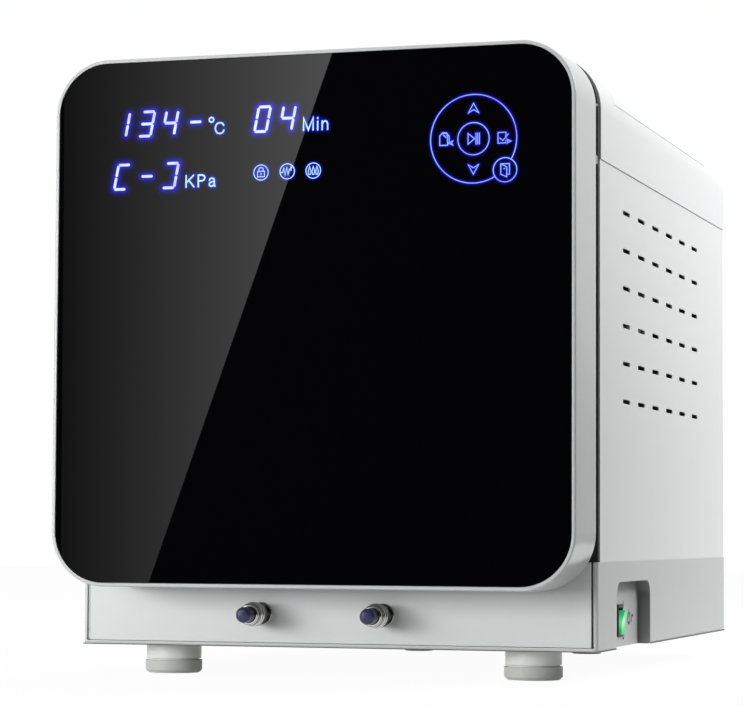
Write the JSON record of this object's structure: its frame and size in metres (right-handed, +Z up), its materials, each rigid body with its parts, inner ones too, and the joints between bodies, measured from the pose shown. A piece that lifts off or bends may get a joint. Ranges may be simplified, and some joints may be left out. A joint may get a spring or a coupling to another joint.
{
  "type": "bench autoclave",
  "caption": "Front-loading bench steam steriliser with a full-height black glass door, vented white cabinet, top water tank and round pressure vessel.",
  "frame": {"origin": "on the bench under the middle of the machine", "axes": "+X to the machine's right as seen from the front, +Y from the door to the back, +Z up"},
  "size_m": [0.439, 0.631, 0.5034],
  "materials": {
    "cabinet_sheet": "satin powder coat",
    "cover_plastic": "satin moulded",
    "door_plastic": "satin moulded",
    "base_paint": "satin powder coat",
    "frame_dark": "matt",
    "black_glass": "polished, printed black behind",
    "board": "solder mask",
    "inner_plastic": "matt moulded",
    "stainless": "turned and brushed",
    "silicone": "matt silicone",
    "heater_steel": "heat tinted",
    "insulation": "quilted glass cloth",
    "zinc_steel": "zinc plated",
    "bright_steel": "polished",
    "black_plastic": "fine texture",
    "rocker_green": "clear, lit from inside",
    "foot_plastic": "fine texture",
    "foot_rubber": "matt",
    "tank_plastic": "natural moulded",
    "float_plastic": "foamed",
    "cast_aluminium": "as cast",
    "motor_paint": "semi gloss",
    "brass": "machined",
    "boiler_steel": "rolled"
  },
  "bodies": {
    "cabinet": {"side_panel_left": "cabinet_sheet", "side_panel_right": "cabinet_sheet", "rear_panel": "cabinet_sheet", "top_cover": "cover_plastic", "base_pan": "base_paint", "lower_front_panel": "base_paint", "front_frame": "frame_dark", "control_board": "board", "chamber_vessel": "stainless", "tray_rack": "stainless", "tray_lower": "stainless", "tray_middle": "stainless", "tray_upper": "stainless", "heater_band": "heater_steel", "insulation_jacket": "insulation", "jacket_straps": "zinc_steel", "cradle_front": "zinc_steel", "cradle_rear": "zinc_steel", "tank_shelf": "zinc_steel", "hinge_brackets": "zinc_steel", "drain_body_left": "bright_steel", "drain_body_right": "bright_steel", "switch_bezel": "black_plastic", "mains_inlet": "black_plastic", "fan_frame": "black_plastic", "drain_plugs": "black_plastic", "foot_front_left": "foot_plastic", "foot_front_right": "foot_plastic", "foot_rear_left": "foot_plastic", "foot_rear_right": "foot_plastic", "foot_pads": "foot_rubber", "water_tank": "tank_plastic", "level_stems": "tank_plastic", "air_filter": "tank_plastic", "vacuum_pump_head": "cast_aluminium", "condenser": "cast_aluminium", "vacuum_pump_motor": "motor_paint", "water_pump": "motor_paint", "lock_motor": "motor_paint", "valve_block": "brass", "safety_valve": "brass", "steam_generator": "boiler_steel"},
    "door": {"door_shell": "door_plastic", "door_glass": "black_glass", "display_board": "board", "door_cover": "inner_plastic", "pressure_plate": "stainless", "door_seal": "silicone", "door_carrier": "zinc_steel", "lock_strikers": "zinc_steel", "hinge_pins": "bright_steel"},
    "tank_lid": {"tank_lid": "cover_plastic"},
    "lock_bar": {"lock_bar": "zinc_steel"},
    "lock_screw": {"lock_screw": "bright_steel"},
    "fan_rotor": {"fan_rotor": "black_plastic"},
    "rocker": {"switch_rocker": "rocker_green"},
    "sleeve_left": {"drain_sleeve_left": "bright_steel"},
    "sleeve_right": {"drain_sleeve_right": "bright_steel"},
    "clean_float": {"clean_float": "float_plastic"},
    "used_float": {"used_float": "float_plastic"}
  },
  "joints": [
    {"name": "door_swing", "type": "hinge", "parent": "cabinet", "child": "door", "pos_m": [-0.2075, -0.2631, 0.272], "axis": [0, 0, -1], "range_deg": [0, 110]},
    {"name": "lid_lift", "type": "slide", "parent": "cabinet", "child": "tank_lid", "axis": [0, 0, 1], "range_m": [0, 0.08]},
    {"name": "lock_lift", "type": "slide", "parent": "cabinet", "child": "lock_bar", "axis": [0, 0, 1], "range_m": [0, 0.014]},
    {"name": "lock_spin", "type": "hinge", "parent": "cabinet", "child": "lock_screw", "pos_m": [0.206, -0.2096, 0.26], "axis": [0, 0, 1], "range_deg": [0, 2520]},
    {"name": "fan_spin", "type": "hinge", "parent": "cabinet", "child": "fan_rotor", "pos_m": [0.12, 0.3, 0.33], "axis": [0, 1, 0], "continuous": true},
    {"name": "power_rocker", "type": "hinge", "parent": "cabinet", "child": "rocker", "pos_m": [0.2062, -0.1187, 0.046], "axis": [0, -1, 0], "range_deg": [0, 18]},
    {"name": "sleeve_left_slide", "type": "slide", "parent": "cabinet", "child": "sleeve_left", "axis": [0, 1, 0], "range_m": [0, 0.0035], "stiffness_N_per_m": 200},
    {"name": "sleeve_right_slide", "type": "slide", "parent": "cabinet", "child": "sleeve_right", "axis": [0, 1, 0], "range_m": [0, 0.0035], "stiffness_N_per_m": 200},
    {"name": "clean_level", "type": "slide", "parent": "cabinet", "child": "clean_float", "axis": [0, 0, 1], "range_m": [0, 0.033]},
    {"name": "used_level", "type": "slide", "parent": "cabinet", "child": "used_float", "axis": [0, 0, 1], "range_m": [0, 0.033]}
  ],
  "couplings": [
    {"joint": "lock_spin", "follows": "lock_lift", "rad_per_m": 3141.6}
  ]
}
